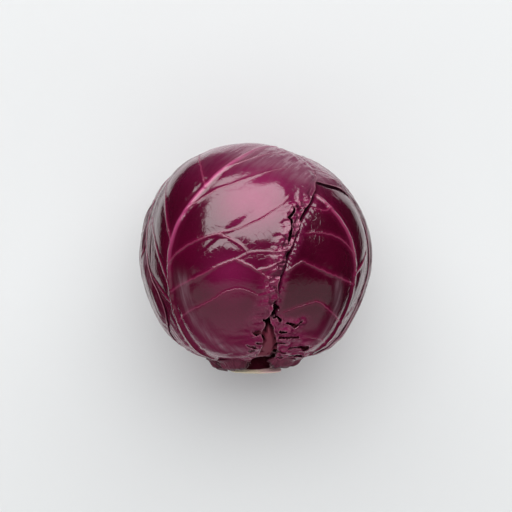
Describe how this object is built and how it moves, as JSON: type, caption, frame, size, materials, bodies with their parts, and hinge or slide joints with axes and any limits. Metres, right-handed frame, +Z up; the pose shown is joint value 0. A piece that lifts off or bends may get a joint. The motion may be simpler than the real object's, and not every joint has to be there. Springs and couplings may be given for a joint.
{
  "type": "cabbage head",
  "caption": "Round red cabbage head lying on its side: overlapping ribbed leaves wrapped on a packed heart, torn leaf bases and a short stem cut flat.",
  "frame": {"origin": "middle of the bounding box's base, on the small flat spot that the head lies on", "axes": "+Z up, away from the spot it lies on; -Y out of the cut stem, along the stem axis, and +Y towards the crown; +X across the head, to the right with the crown at the back"},
  "size_m": [0.1516, 0.1488, 0.1451],
  "materials": {
    "leaf": "gloss",
    "heart": "satin",
    "stem": "matte",
    "torn_base": "satin"
  },
  "bodies": {
    "root": {"inner_head": "heart", "cut_stem": "stem", "leaf_inner_left": "leaf", "leaf_inner_right": "leaf", "leaf_inner_top": "leaf", "leaf_lower_left": "leaf", "leaf_lower_right": "leaf", "leaf_under_left": "leaf", "leaf_upper_left": "leaf", "leaf_upper_right": "leaf", "leaf_stub_1": "torn_base", "leaf_stub_2": "torn_base", "leaf_stub_3": "torn_base", "leaf_stub_4": "torn_base", "leaf_stub_5": "torn_base"}
  },
  "joints": []
}
